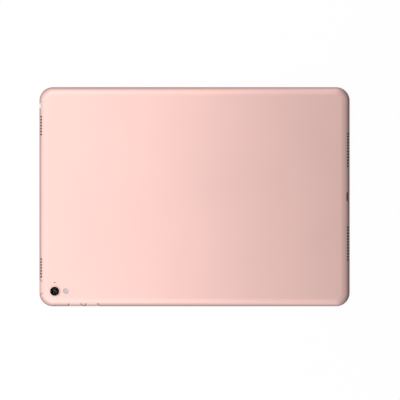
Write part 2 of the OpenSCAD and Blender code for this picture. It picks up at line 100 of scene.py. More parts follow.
class TabletSizes(bpy.types.PropertyGroup):
    corner: length("Corner radius", "Radius of the outline's corners", 10.4)
    edge_width: length("Edge width", "Width of the curved band round the rear face", 7.0)
    edge_start: length("Edge start", "Height where the side wall starts to curve", 1.0)
    chamfer: length("Rim chamfer", "Bevel between the side wall and the front rim", 0.45)
    wall: length("Wall", "Distance from the outline to the inner wall", 4.4)
    ledge: length("Ledge", "Height of the ledge that the glass is bonded to", 0.87)
    rear_plate: length("Rear plate", "Thickness of the rear plate", 0.65)
    hole_lip: length("Hole lip", "Size of the broken edge round each hole", 0.06)
    key_length: length("Key length", "Length of a side key's cap", 9.7)
    key_height: length("Key height", "Height of a side key's cap", 2.2)
    key_recess: length("Key recess", "Depth of the recess round each side key", 0.6)
    key_margin: length("Key margin", "Length of the recess past each end of its key", 0.75)
    key_rise: length("Key rise", "Height of the recess past each side of its key", 0.5)
    key_inset: length("Key inset", "Distance from the outline to a key's outermost point", 0.1)
    sound_pitch: length("Sound hole pitch", "Distance between two speaker holes", 2.28)
    sound_radius: length("Sound hole radius", "Radius of a speaker hole", 0.72)
    dock_length: length("Dock slot length", "Length of the dock slot", 7.6)
    dock_height: length("Dock slot height", "Height of the dock slot", 2.5)


class TabletColours(bpy.types.PropertyGroup):
    shell: colour("Shell", "Tint of the anodised metal", (0.875, 0.577, 0.533))
    trim: colour("Trim", "Tint of the polished rings", (0.93, 0.66, 0.60))
    bezel: colour("Bezel", "Ink behind the cover glass", (0.86, 0.86, 0.86))


class TabletStage(bpy.types.PropertyGroup):
    frame_width: length("Frame width", "Width of the camera's view at the object", 309.6)
    view_x: length("View X", "Place of the view's centre along X", 4.21)
    view_y: length("View Y", "Place of the view's centre along Y", -2.53)
    lens: bpy.props.FloatProperty(
        name="Lens", description="Focal length of the camera in millimetres", default=300, min=50
    )
    card_height: length("Card height", "Height of the soft card above the table", 420)


# ---- surfaces ----


class Surface:
    """Grids of points in millimetres and the quads between them, welded into one mesh at the
    end. A triangle is a quad whose last corner is given twice."""

    def __init__(self):
        self.points, self.faces, self.count = [], [], 0

    def add(self, points, faces):
        """Takes in points and the quads between them, which count the points from 0."""
        self.points.append(points.reshape(-1, 3))
        self.faces.append(faces + self.count)
        self.count += len(self.points[-1])

    def grid(self, points, keep=None):
        """Joins each row of points to the next one and the last column to the first. keep is a
        mask of the quads that are wanted."""
        rows, columns = points.shape[:2]
        index = np.arange(rows * columns).reshape(rows, columns)
        index = np.concatenate([index, index[:, :1]], axis=1)
        quads = np.stack([index[:-1, :-1], index[:-1, 1:], index[1:, 1:], index[1:, :-1]], -1)
        self.add(points, quads.reshape(-1, 4) if keep is None else quads[keep])

    def sheet(self, *loops):
        """Fills the first level loop, less the loops after it, with Delaunay triangles: those
        that lie in the first loop and in none of the others."""
        points, starts = np.concatenate(loops), np.cumsum([0] + [len(loop) for loop in loops])
        areas = [list(range(low, high)) for low, high in zip(starts[:-1], starts[1:])]
        flat = points[:, :2].tolist()
        _, _, corners, sources, _, lies_in = delaunay_2d_cdt(flat, [], areas, 1, 1e-6)
        corners = np.array([corner for corner, area in zip(corners, lies_in) if area == [0]])
        triangles = np.array([source[0] for source in sources])[corners]
        self.add(points, np.concatenate([triangles, triangles[:, 2:]], axis=1))

    def build(self, name, body, node, look=None):
        """Makes the piece, gives it the finish of its node's slot or a look of its own, and sets
        it on its CAD body in the node's place."""
        points, faces = np.concatenate(self.points) * MM, np.concatenate(self.faces)
        used, number = np.unique(faces, return_inverse=True)
        points, faces = points[used], number.reshape(-1, 4)
        flat = faces[:, 2] == faces[:, 3]
        mesh = bpy.data.meshes.new(name)
        mesh.from_pydata(points.tolist(), [], faces[~flat].tolist() + faces[flat, :3].tolist())
        work = bmesh.new()
        work.from_mesh(mesh)
        bmesh.ops.remove_doubles(work, verts=work.verts, dist=WELD)
        bmesh.ops.recalc_face_normals(work, faces=work.faces)
        work.to_mesh(mesh)
        work.free()
        mesh.shade_smooth()
        mesh.set_sharp_from_angle(angle=CREASE)
        mesh.materials.append(finish(look or SLOTS[node]))
        piece = bpy.data.objects.new(name, mesh)
        bpy.context.scene.collection.objects.link(piece)
        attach(piece, body)
        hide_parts(node)


def arc(across, up, radius, start, end, steps=4):
    """Points of a circle's arc in a profile, from one angle in degrees to another."""
    angles = np.radians(np.linspace(start, end, steps + 1))
    return [(across + radius * math.cos(a), up + radius * math.sin(a)) for a in angles]


def even_turn(steps):
    """Angles at even steps of a whole turn."""
    return np.arange(steps) * 2 * math.pi / steps


def turned(profile, x, y, steps=64):
    """A profile of (radius, height) turned round the upright line through x, y: each of its points
    becomes a circle of that radius at that height."""
    radius, height = np.array(profile, float).T[:, :, None]
    angle = even_turn(steps)
    points = [x + radius * np.cos(angle), y + radius * np.sin(angle), height + 0 * angle]
    return np.stack(points, -1)


def pill(straight, radius, turns=14, runs=8):
    """A stadium: a circle's points, with those of its right half moved right and those of its left
    half moved left by half of the straight length. Returns two rows of distances."""
    right = np.linspace(-math.pi / 2, math.pi / 2, turns + 1)
    slide = np.linspace(straight, -straight, runs + 1)[1:-1]
    angle = np.concatenate([right, np.full(runs - 1, math.pi / 2), right + math.pi])
    angle = np.concatenate([angle, np.full(runs - 1, -math.pi / 2)])
    core = np.concatenate([np.full(turns + 1, straight), slide])
    core = np.concatenate([core, -core[: turns + 1], slide[::-1]])
    return core + radius * np.cos(angle), radius * np.sin(angle)


class Outline:
    """The body's rounded outline, from half of its length, half of its width and its corners'
    radius. A point on a side is given by its distance along the side from the side's middle and
    its inset from the outline, and a point in a corner by its angle."""

    def __init__(self, half_x, half_y, corner):
        self.corner, self.corner_steps = corner, 24
        self.reach = (half_x, half_y, half_x, half_y)
        self.straight = (half_y - corner, half_x - corner, half_y - corner, half_x - corner)

    @staticmethod
    def place(side, out, along, height):
        """Turns a side's outward and along distances to X and Y, a quarter turn for each side."""
        cosine, sine = round(math.cos(side * math.pi / 2)), round(math.sin(side * math.pi / 2))
        out, along, height = np.broadcast_arrays(out, along, height)
        return np.stack([out * cosine - along * sine, out * sine + along * cosine, height], -1)

    def at(self, side, along, inset, height):
        """The side's reach less the inset, and past the straight part the corner circle."""
        past = np.maximum(np.abs(along) - self.straight[side], 0)
        chord = np.sqrt(np.maximum((self.corner - inset) ** 2 - past**2, 0))
        return self.place(side, self.reach[side] - self.corner + chord, along, height)

    def sweep(self, profile, lines=None):
        """Carries a profile of (inset, height) round the outline: on each side at the distances
        in its lines, and in each corner at even angles between two sides."""
        lines = lines or [np.linspace(-half, half, 13) for half in self.straight]
        inset, height = np.array(profile, float).T[:, :, None]
        radius = self.corner - inset
        share = np.arange(1, self.corner_steps)[None] / self.corner_steps
        columns = []
        for side in range(4):
            after = (side + 1) % 4
            first = np.arcsin((lines[side][-1] - self.straight[side]) / radius)
            last = math.pi / 2 - np.arcsin((-lines[after][0] - self.straight[after]) / radius)
            angle = first + (last - first) * share
            out = self.reach[side] - self.corner + radius * np.cos(angle)
            along = self.straight[side] + radius * np.sin(angle)
            columns.append(self.at(side, lines[side][None], inset, height))
            columns.append(self.place(side, out, along, height))
        return np.concatenate(columns, axis=1)


# ---- materials ----


class Value:
    """A number that varies over the surface, which can be used in ordinary arithmetic."""

    def __init__(self, recipe, socket):
        self.recipe, self.socket = recipe, socket

    def _math(self, operation, *values, clamp=False):
        made = self.recipe.node(
            "ShaderNodeMath", {"operation": operation, "use_clamp": clamp}, dict(enumerate(values))
        )
        return Value(self.recipe, made.outputs[0])

    def __add__(self, other):
        return self._math("ADD", self, other)

    def __radd__(self, other):
        return self._math("ADD", other, self)

    def __sub__(self, other):
        return self._math("SUBTRACT", self, other)

    def __rsub__(self, other):
        return self._math("SUBTRACT", other, self)

    def __mul__(self, other):
        return self._math("MULTIPLY", self, other)

    def __rmul__(self, other):
        return self._math("MULTIPLY", other, self)

    def __truediv__(self, other):
        return self._math("DIVIDE", self, other)

    def __pow__(self, other):
        return self._math("POWER", self, other)

    def __gt__(self, other):
        return self._math("GREATER_THAN", self, other)

    def __lt__(self, other):
        return self._math("LESS_THAN", self, other)

    def __abs__(self):
        return self._math("ABSOLUTE", self)

    def between(self, low, high):
        """0 below low, 1 above high and a straight rise from one to the other."""
        return self._math("MULTIPLY", self - low, 1 / (high - low), clamp=True)

    def wave(self):
        """The sine."""
        return self._math("SINE", self)


class Recipe:
    """One node tree, for a material or for the world."""

    def __init__(self, owner):
        owner.use_nodes = True
        self.tree = owner.node_tree
        self.tree.nodes.clear()

    def node(self, kind, settings=None, inputs=None):
        """Adds a node of a type, with its settings first and then the values or links of its
        sockets, by name or number."""
        made = self.tree.nodes.new(kind)
        for key, value in (settings or {}).items():
            if key == "stops":
                self._stops(made.color_ramp, value)
            else:
                setattr(made, key, value)
        for key, value in (inputs or {}).items():
            socket = made.inputs[key]
            source = value.socket if isinstance(value, Value) else value
            if isinstance(source, bpy.types.NodeSocket):
                self.tree.links.new(source, socket)
            elif socket.type == "RGBA" and len(source) == 3:
                socket.default_value = (*source, 1)
            else:
                socket.default_value = source
        return made

    @staticmethod
    def _stops(ramp, stops):
        """Sets a ramp's stops from pairs of a place and a grey level."""
        ramp.elements.remove(ramp.elements[1])
        ramp.elements[0].position = stops[0][0]
        for place, _ in stops[1:]:
            ramp.elements.new(place)
        for element, (_, level) in zip(ramp.elements, stops):
            element.color = (level, level, level, 1)

    def place(self, source="Object"):
        """A point's own X, Y and Z in metres, or for the room the direction of a ray."""
        return self.node("ShaderNodeTexCoord").outputs[source]

    def split(self, vector):
        """The three numbers of a vector."""
        made = self.node("ShaderNodeSeparateXYZ", inputs={0: vector})
        return [Value(self, socket) for socket in made.outputs]

    def noise(self, scale, detail=2.0, rough=0.5, stretch=None):
        """Cloudy noise, with scale features to a metre. stretch gives each axis a factor, and a
        larger one packs the features closer that way."""
        at = self.place()
        if stretch:
            factors = {0: at, 1: stretch}
            at = self.node("ShaderNodeVectorMath", {"operation": "MULTIPLY"}, factors).outputs[0]
        sizes = {"Scale": scale, "Detail": detail, "Roughness": rough}
        made = self.node("ShaderNodeTexNoise", inputs={"Vector": at, **sizes})
        return Value(self, made.outputs["Fac"])

    def cells(self, scale):
        """Distance to the nearest of scattered points, about scale of them to a metre."""
        made = self.node("ShaderNodeTexVoronoi", inputs={"Vector": self.place(), "Scale": scale})
        return Value(self, made.outputs["Distance"])

    def ramp(self, value, stops):
        """Grey levels at places between 0 and 1, with straight runs between them."""
        made = self.node("ShaderNodeValToRGB", {"stops": stops}, {"Fac": value})
        return made.outputs["Color"]

    def mix(self, share, first, second, blend="MIX"):
        """One colour to another by a share. The node's colours are its sockets 6 and 7."""
        kind = {"data_type": "RGBA", "blend_type": blend}
        made = self.node("ShaderNodeMix", kind, {0: share, 6: first, 7: second})
        return made.outputs[2]

    def bump(self, height, depth, strength):
        """A normal bent by a height of up to depth metres."""
        sizes = {"Height": height, "Distance": depth, "Strength": strength}
        return self.node("ShaderNodeBump", inputs=sizes).outputs["Normal"]

    def surface(self, **inputs):
        """Ends a material in one principled shader. An underscore stands for a space."""
        names = {key.replace("_", " "): value for key, value in inputs.items()}
        self.end(self.node("ShaderNodeBsdfPrincipled", inputs=names))

    def end(self, shader, kind="ShaderNodeOutputMaterial"):
        """Ends the tree in a shader."""
        self.node(kind, inputs={"Surface": shader.outputs[0]})

    def either(self, share, first, second):
        """One shader where the share is 0 and another where it is 1."""
        both = {0: share, 1: first.outputs[0], 2: second.outputs[0]}
        return self.node("ShaderNodeMixShader", inputs=both)


def tone(tint, factor):
    """A tint made darker or lighter."""
    return tuple(min(1.0, channel * factor) for channel in tint)


def anodised_aluminium(recipe, tint):
    """Bead-blasted metal under a dyed oxide: an even tint with the faintest clouding, and a very
    fine grain in the normal and the roughness."""
    clouds = recipe.noise(18.0, 3.0)
    grain = recipe.noise(2600.0, 2.0, 0.6)
    fine = recipe.noise(9000.0, 1.0)
    recipe.surface(
        Base_Color=recipe.mix(clouds.between(0.35, 0.65), tone(tint, 0.985), tone(tint, 1.01)),
        Metallic=1.0,
        Roughness=0.33 + clouds * 0.03 + grain * 0.04,
        Normal=recipe.bump(grain * 0.7 + fine * 0.3, 0.000004, 0.35),
    )


def polished_metal(recipe, tint):
    """Cut and polished ring, with hair-fine turning marks."""
    marks = recipe.noise(900.0, 2.0, stretch=(1.0, 1.0, 14.0))
    recipe.surface(
        Base_Color=recipe.mix(marks, tone(tint, 0.96), tint),
        Metallic=1.0,
        Roughness=0.14 + marks * 0.08,
        Normal=recipe.bump(marks, 0.000002, 0.3),
    )


def brushed_sheet(recipe, tint):
    """Stamped sheet with a rolled grain that runs one way."""
    streaks = recipe.noise(260.0, 4.0, 0.6, stretch=(1.0, 12.0, 12.0))
    stains = recipe.noise(40.0, 3.0)
    recipe.surface(
        Base_Color=recipe.mix(streaks * 0.6 + stains * 0.4, tone(tint, 0.82), tint),
        Metallic=1.0,
        Roughness=0.34 + streaks * 0.12,
        Normal=recipe.bump(streaks, 0.00001, 0.4),
    )


def moulding(recipe, tint):
    """Moulded plastic or rubber with a fine spark-eroded texture. The darker it is, the less it
    shines, because the darkest pieces stand for deep and shaded places."""
    texture = recipe.noise(1800.0, 3.0, 0.6)
    flow = recipe.noise(60.0, 2.0)
    recipe.surface(
        Base_Color=recipe.mix(flow * 0.5 + texture * 0.5, tone(tint, 0.86), tone(tint, 1.06)),
        Roughness=0.44 + texture * 0.12,
        Specular_IOR_Level=min(0.45, 0.05 + 12 * max(tint)),
        Normal=recipe.bump(texture, 0.000008, 0.5),
    )


def gloss_moulding(recipe, tint):
    """Polished moulding with a slight ripple under its gloss."""
    ripple = recipe.noise(120.0, 2.0)
    specks = recipe.noise(1500.0, 1.0)
    recipe.surface(
        Base_Color=recipe.mix(specks, tone(tint, 0.97), tint),
        Roughness=0.16 + ripple * 0.05,
        Coat_Weight=0.4,
        Normal=recipe.bump(ripple, 0.00002, 0.25),
    )


def cover_glass_finish(recipe, tint):
    """Clear polished glass with the faintest trace of smears."""
    smears = recipe.noise(28.0, 4.0, 0.65)
    recipe.surface(
        Base_Color=tint,
        Roughness=smears.between(0.55, 0.8) * 0.05,
        IOR=1.5,
        Transmission_Weight=1.0,
    )


def lens_glass_finish(recipe, tint):
    """Coated lens: dark glass whose coating colours its reflection."""
    bloom = recipe.noise(300.0, 2.0)
    recipe.surface(
        Base_Color=recipe.mix(bloom, tone(tint, 0.8), tint),
        Roughness=0.03 + bloom * 0.03,
        IOR=1.38,
        Transmission_Weight=0.5,
    )


def coated_window_finish(recipe, tint):
    """Window with a coating that takes away nearly all of its reflection."""
    dust = recipe.noise(900.0, 3.0)
    recipe.surface(
        Base_Color=tint,
        Roughness=dust.between(0.6, 0.8) * 0.04,
        IOR=1.1,
        Transmission_Weight=1.0,
    )


def emitter_mask(recipe):
    """1 over the two emitters, and 0 between them and round them: limits on the distance from the
    slanted line that parts the two, and on the distance along it."""
    x, y, _ = recipe.split(recipe.place())
    cx, cy, _ = middle("flash_leds") * MM
    away = abs((y - cy) - (x - cx)) * DIAGONAL
    along = abs((y - cy) + (x - cx)) * DIAGONAL
    mask = away.between(0.0003, 0.0005) * (1.0 - along.between(0.0012, 0.0015))
    return mask * (1.0 - away.between(0.0015, 0.0018))


def flash_emitter_finish(recipe, tint):
    """Two emitters on a pale seat: warm grey where they lie, and pale between them and round
    them."""
    grains = recipe.cells(2600.0)
    dark = recipe.mix(grains, tone(tint, 0.3), tone(tint, 0.4))
    recipe.surface(
        Base_Color=recipe.mix(emitter_mask(recipe), tint, dark),
        Roughness=0.55 + grains * 0.2,
        Normal=recipe.bump(grains, 0.00002, 0.5),
    )


def display_finish(recipe, tint):
    """Display that is off: a near-black stack with a fine cell grid."""
    x, y, _ = recipe.split(recipe.place())
    rows = (x * 30000.0).wave() * (y * 30000.0).wave()
    sheen = recipe.noise(9.0, 2.0)
    recipe.surface(
        Base_Color=recipe.mix(abs(rows) * 0.5, tint, tone(tint, 1.6)),
        Roughness=0.35 + sheen * 0.05,
        Specular_IOR_Level=0.1,
    )


def solder_mask(recipe, tint):
    """Circuit board: mask over copper tracks, with lighter dots where the vias are."""
    x, y, _ = recipe.split(recipe.place())
    lines = abs((x * 2400.0).wave()) * abs((y * 1700.0).wave())
    tracks = lines.between(0.35, 0.5)
    vias = recipe.cells(420.0) < 0.22
    mask = recipe.mix(tracks, tint, tone(tint, 1.7))
    recipe.surface(
        Base_Color=recipe.mix(vias, mask, (0.62, 0.52, 0.30)),
        Metallic=vias * 0.8,
        Roughness=0.32 + recipe.noise(500.0) * 0.12,
        Normal=recipe.bump(tracks, 0.00002, 0.5),
    )


def ribbon_finish(recipe, tint):
    """Amber film with fine copper conductors under it."""
    x, y, _ = recipe.split(recipe.place())
    lines = ((x + y) * 9000.0).wave().between(-0.1, 0.1)
    recipe.surface(
        Base_Color=recipe.mix(lines, tint, tone(tint, 1.5)),
        Roughness=0.3 + recipe.noise(300.0) * 0.15,
        Normal=recipe.bump(lines, 0.00001, 0.4),
    )


def pouch_finish(recipe, tint):
    """Battery pouch: dark laminate with shallow creases."""
    creases = recipe.noise(45.0, 5.0, 0.65)
    weave = recipe.noise(1500.0, 1.0)
    recipe.surface(
        Base_Color=recipe.mix(creases, tint, tone(tint, 1.8)),
        Metallic=0.3,
        Roughness=0.38 + weave * 0.1,
        Normal=recipe.bump(creases, 0.0003, 0.5),
    )


def mesh_finish(recipe, tint):
    """Acoustic mesh: crossed threads with open squares between them."""
    x, y, z = recipe.split(recipe.place())
    threads = abs(((x + y) * 16000.0).wave()) * abs((z * 16000.0).wave())
    recipe.surface(
        Base_Color=recipe.mix(threads, tone(tint, 0.3), tone(tint, 1.8)),
        Roughness=0.6 + threads * 0.2,
        Specular_IOR_Level=0.15,
        Normal=recipe.bump(threads, 0.00005, 0.6),
    )


def flash_glass_finish(recipe, tint):
    """Frosted diffuser, darker over the two emitters."""
    frost = recipe.noise(2200.0, 2.0)
    shade = emitter_mask(recipe) * (0.85 + frost * 0.3)
    recipe.surface(
        Base_Color=recipe.mix(shade, tint, tone(tint, 0.86)),
        Roughness=0.1 + frost * 0.1,
        IOR=1.4,
        Transmission_Weight=0.52,
        Normal=recipe.bump(frost, 0.00001, 0.4),
    )


def plated_contact(recipe, tint):
    """Plated pad with light wiping marks."""
    marks = recipe.noise(700.0, 3.0, 0.6, stretch=(8.0, 1.0, 1.0))
    recipe.surface(
        Base_Color=recipe.mix(marks, tone(tint, 0.85), tint),
        Metallic=1.0,
        Roughness=0.2 + marks * 0.15,
        Normal=recipe.bump(marks, 0.000005, 0.4),
    )


STEEL = (0.56, 0.56, 0.58)
# Each finish's recipe and its tint, which is a colour or the name of one that the user may change
FINISHES = {
    "anodised_aluminium": (anodised_aluminium, "shell"),
    "camera_trim": (polished_metal, "trim"),
    "polished_trim": (polished_metal, "trim"),
    "cover_glass": (cover_glass_finish, (0.97, 0.985, 0.99)),
    "white_bezel": (gloss_moulding, "bezel"),
    "gasket": (moulding, (0.70, 0.70, 0.70)),
    "adhesive": (moulding, (0.03, 0.03, 0.03)),
    "display_black": (display_finish, (0.006, 0.006, 0.008)),
    "steel_sheet": (brushed_sheet, STEEL),
    "screw_steel": (plated_contact, STEEL),
    "flex_ribbon": (ribbon_finish, (0.34, 0.12, 0.02)),
    "home_white": (gloss_moulding, (0.84, 0.84, 0.84)),
    "sensor_black": (moulding, (0.012, 0.012, 0.015)),
    "black_rubber": (moulding, (0.02, 0.02, 0.02)),
    "circuit_board": (solder_mask, (0.01, 0.07, 0.035)),
    "logic_board": (solder_mask, (0.006, 0.028, 0.05)),
    "lens_glass": (lens_glass_finish, (0.012, 0.014, 0.024)),
    "coated_window": (coated_window_finish, (0.9, 0.9, 0.9)),
    "lens_black": (moulding, (0.003, 0.003, 0.003)),
    # The dock liner's brown tint is painted shade: the tone of the slot's metal walls in shadow,
    # laid on a dark liner
    "liner_black": (moulding, (0.18, 0.095, 0.078)),
    "flash_emitters": (flash_emitter_finish, (0.95, 0.85, 0.80)),
    "black_plastic": (moulding, (0.010, 0.010, 0.010)),
    "flash_window": (flash_glass_finish, (1.0, 0.92, 0.885)),
    "socket_white": (gloss_moulding, (0.90, 0.80, 0.78)),
    "gold_contact": (plated_contact, (0.80, 0.56, 0.22)),
    "mesh_black": (mesh_finish, (0.008, 0.006, 0.006)),
    "accessory_metal": (plated_contact, (0.80, 0.56, 0.50)),
    "insulator_plastic": (moulding, (0.62, 0.46, 0.42)),
    "battery_pouch": (pouch_finish, (0.012, 0.012, 0.014)),
    "chip_black": (moulding, (0.015, 0.015, 0.018)),
    "antenna_copper": (plated_contact, (0.62, 0.30, 0.16)),
}
MADE = {}


def finish(look):
    """The material of a finish, made when it is first asked for."""
    if look not in MADE:
        make, tint = FINISHES[look]
        if isinstance(tint, str):
            tint = tuple(getattr(bpy.context.scene.tablet_colours, tint))
        MADE[look] = bpy.data.materials.new(look + "_finish")
        make(Recipe(MADE[look]), tint)
    return MADE[look]


# ---- the housing, in millimetres ----

# Side, node and number of holes
SPEAKERS = (
    (CAMERA_END, "speaker_left_upper", 7),
    (CAMERA_END, "speaker_left_lower", 7),
    (DOCK_END, "speaker_right_upper", 12),
    (DOCK_END, "speaker_right_lower", 12),
)
# Side, label, node and body
KEYS = (
    (LOWER_SIDE, "volume_up", "volume_up_button", "volume_up_key"),
    (LOWER_SIDE, "volume_down", "volume_down_button", "volume_down_key"),
    (CAMERA_END, "power", "power_button", "power_key"),
)
SIDE_MICROPHONE = (2.9, 0.4, 2.0)  # height, radius and margin of its hole
REAR_HOLES = (("camera_ring", 4.25), ("flash_window", 2.25), ("rear_microphone", 0.45))
HEADPHONE_RADIUS = 2.17
CONTACT_RADIUS, CONTACT_PLACES = 1.28, (-4.6, 0, 4.6)
KEY_GAP, KEY_END_GAP = 0.12, 0.16  # gap round a key's shaft, and more of it at each end
DOCK_MARGIN = 1.1
RIM_WIDTH = 0.9
BAND_TOP = 0.35  # from the rear face down to the topmost line of the band
FLAT_INSET = 0.2  # from the curved edge to the first line of the flat rear face


class Shell:
    """The housing's curved skin. q is an angle: the skin's inset is edge_width (1 - cos q) and
    its height is edge_start + rise sin q. Below q = 0 the wall is upright and its height is
    edge_start + rise q. The band is the part of the skin that the side holes go through."""

    def __init__(self, sizes):
        low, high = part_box("rear_housing")
        self.low, self.top = mm(low.z), mm(high.z)
        self.outline = Outline(mm(high.x), mm(high.y), mm(sizes.corner))
        self.width, self.start = mm(sizes.edge_width), mm(sizes.edge_start)
        self.rise, self.wall = self.top - self.start, mm(sizes.wall)
        self.ledge, self.plate = mm(sizes.ledge), self.top - mm(sizes.rear_plate)
        self.chamfer, self.lip = mm(sizes.chamfer), mm(sizes.hole_lip)
        ends = self.angle(np.array([self.low + self.chamfer, self.top - BAND_TOP]))
        self.band = np.linspace(*ends, 15)

    def inset(self, q):
        """How far inside the outline the skin is."""
        return np.where(q > 0, self.width * (1 - np.cos(q)), 0)

    def height(self, q):
        """How high the skin is."""
        return self.start + self.rise * np.where(q > 0, np.sin(q), q)

    def angle(self, height):
        """The angle at which the skin has a height."""
        share = (height - self.start) / self.rise
        return np.where(share > 0, np.arcsin(np.clip(share, -1, 1)), share)

    def back(self, height):
        """Height on the inner wall that faces a height on the band: one line to another."""
        low, high = self.height(self.band[[0, -1]])
        return self.ledge + (height - low) * (self.plate - self.ledge) / (high - low)

    def skin(self, side, along, height, depth=0.0):
        """A point at a depth behind the skin, measured level."""
        inset = self.inset(self.angle(height)) + depth
        return self.outline.at(side, along, inset, height)

    def inner(self, side, along, height):
        """A point of the inner wall."""
        return self.outline.at(side, along, self.wall, height)


class Opening:
    """A hole through a side wall with round ends. straight is half of its straight length, and
    recess is the straight, radius and depth of a recess round it. It stands in a block of the
    wall that goes past it by the margin at both ends."""

    def __init__(self, side, along, height, radius, straight=0.0, margin=0.6, recess=None):
        self.side, self.along, self.height = side, along, height
        self.radius, self.straight, self.recess = radius, straight, recess
        half = margin + (recess[0] + recess[1] if recess else radius + straight)
        steps = max(6, round(half * 2 / 0.6))
        self.lines = np.round(np.linspace(along - half, along + half, steps + 1), 6)

    def covers(self, along):
        """Whether a distance along the side lies in the block."""
        return (along > self.lines[0] + 1e-6) & (along < self.lines[-1] - 1e-6)

    def rows(self, shell):
        """Rows of points from the block's edge over the skin to the hole, through the wall and
        back to the block's edge on the inner wall. A point of the hole is its radius away from
        its middle line, in the direction from the nearest point of that line to the point of the
        block's edge. Round a round hole, that direction is averaged with an even spread."""
        s, q = self.lines, shell.band
        runs, rises = len(s) - 1, len(q) - 1
        edge_s = np.concatenate([s[:-1], [s[-1]] * rises, s[:0:-1], [s[0]] * rises])
        edge_q = np.concatenate([[q[0]] * runs, q[:-1], [q[-1]] * runs, q[:0:-1]])
        edge_z = shell.height(edge_q)
        even = even_turn(edge_s.size)

        def outline(straight, radius):
            core = np.clip(edge_s - self.along, -straight, straight)
            turn = np.unwrap(np.arctan2(edge_z - self.height, edge_s - self.along - core))
            if not straight:
                turn = (turn + even + np.mean(turn - even)) / 2
            return self.along + core + radius * np.cos(turn), self.height + radius * np.sin(turn)

        def skin(straight, radius, depth):
            return shell.skin(self.side, *outline(straight, radius), depth)

        lip, straight, radius = shell.lip, self.straight, self.radius
        if self.recess:
            wide, deep = self.recess[:2], self.recess[2]
            walls = [skin(wide[0], wide[1] + lip * 0.3, lip * 0.3), skin(*wide, lip)]
            walls += [skin(*wide, deep - 0.15), skin(wide[0], wide[1] - 0.04, deep - 0.04)]
            walls += [skin(wide[0], wide[1] - 0.15, deep), skin(straight, radius + 0.06, deep)]
            walls += [skin(straight, radius, deep + 0.06)]
            rim = outline(wide[0], wide[1] + lip)
        else:
            walls = [skin(straight, radius + lip * 0.3, lip * 0.3), skin(straight, radius, lip)]
            rim = outline(straight, radius + lip)
        hole, rim_q = outline(straight, radius), shell.angle(rim[1])
        rows = []
        for t in np.linspace(0, 1, 6):
            height = shell.height(edge_q + (rim_q - edge_q) * t)
            rows.append(shell.skin(self.side, edge_s + (rim[0] - edge_s) * t, height))
        back = shell.back(edge_z)
        for t in (0, 0.5, 1):
            along, height = hole[0] + (edge_s - hole[0]) * t, hole[1] + (back - hole[1]) * t
            walls.append(shell.inner(self.side, along, height))
        return np.stack(rows + walls)


def along_side(side, node):
    """A node's distance along a side and its height."""
    x, y, z = middle(node)
    return (y, -x, -y, x)[side], z


def sound_holes(sizes):
    """Side, distance, height, radius and margin of each sound hole in the sides. Each speaker
    hole's block ends halfway to the next hole."""
    pitch, radius = mm(sizes.sound_pitch), mm(sizes.sound_radius)
    for side, node, count in SPEAKERS:
        along, height = along_side(side, node)
        for number in range(count):
            place = along + (number - (count - 1) / 2) * pitch
            yield side, place, height, radius, pitch / 2 - radius
    yield LOWER_SIDE, middle("side_microphone")[0], *SIDE_MICROPHONE


def key_half(sizes):
    """Half of the straight length and half of the height of a key's cap."""
    return mm(sizes.key_length - sizes.key_height) / 2, mm(sizes.key_height) / 2


def openings(sizes):
    """Every hole through the side walls."""
    for side, along, height, radius, margin in sound_holes(sizes):
        yield Opening(side, along, height, radius, margin=margin)
    straight, radius = key_half(sizes)
    end, rise = mm(sizes.key_margin), mm(sizes.key_rise)
    recess = (straight + end - rise, radius + rise, mm(sizes.key_recess))
    slot = (radius + KEY_GAP, straight + KEY_END_GAP)
    for side, _, node, _ in KEYS:
        yield Opening(side, *along_side(side, node), *slot, recess=recess)
    yield Opening(CAMERA_END, *along_side(CAMERA_END, "headphone_socket"), HEADPHONE_RADIUS)
    half_length, half_height = mm(sizes.dock_length) / 2, mm(sizes.dock_height) / 2
    dock = along_side(DOCK_END, "dock_connector_shell")
    yield Opening(DOCK_END, *dock, half_height, half_length - half_height, margin=DOCK_MARGIN)
    along, height = along_side(UPPER_SIDE, "accessory_contacts")
    for place in CONTACT_PLACES:
        yield Opening(UPPER_SIDE, along + place, height, CONTACT_RADIUS)


def side_lines(outline, holes, pitch=6.0):
    """Distances along each side where the housing has points: those of its holes' blocks, and
    even steps of up to a pitch between them."""
    made = []
    for side, half in enumerate(outline.straight):
        blocks = [hole for hole in holes if hole.side == side]
        ends = [end for end in (-half, half) if not any(hole.covers(end) for hole in blocks)]
        marks = np.unique(np.round(np.concatenate([ends] + [hole.lines for hole in blocks]), 6))
        spans = [
            np.linspace(low, high, max(1, math.ceil((high - low) / pitch)) + 1)[:-1]
            for low, high in zip(marks[:-1], marks[1:])
        ]
        made.append(np.concatenate(spans + [marks[-1:]]))
    return made


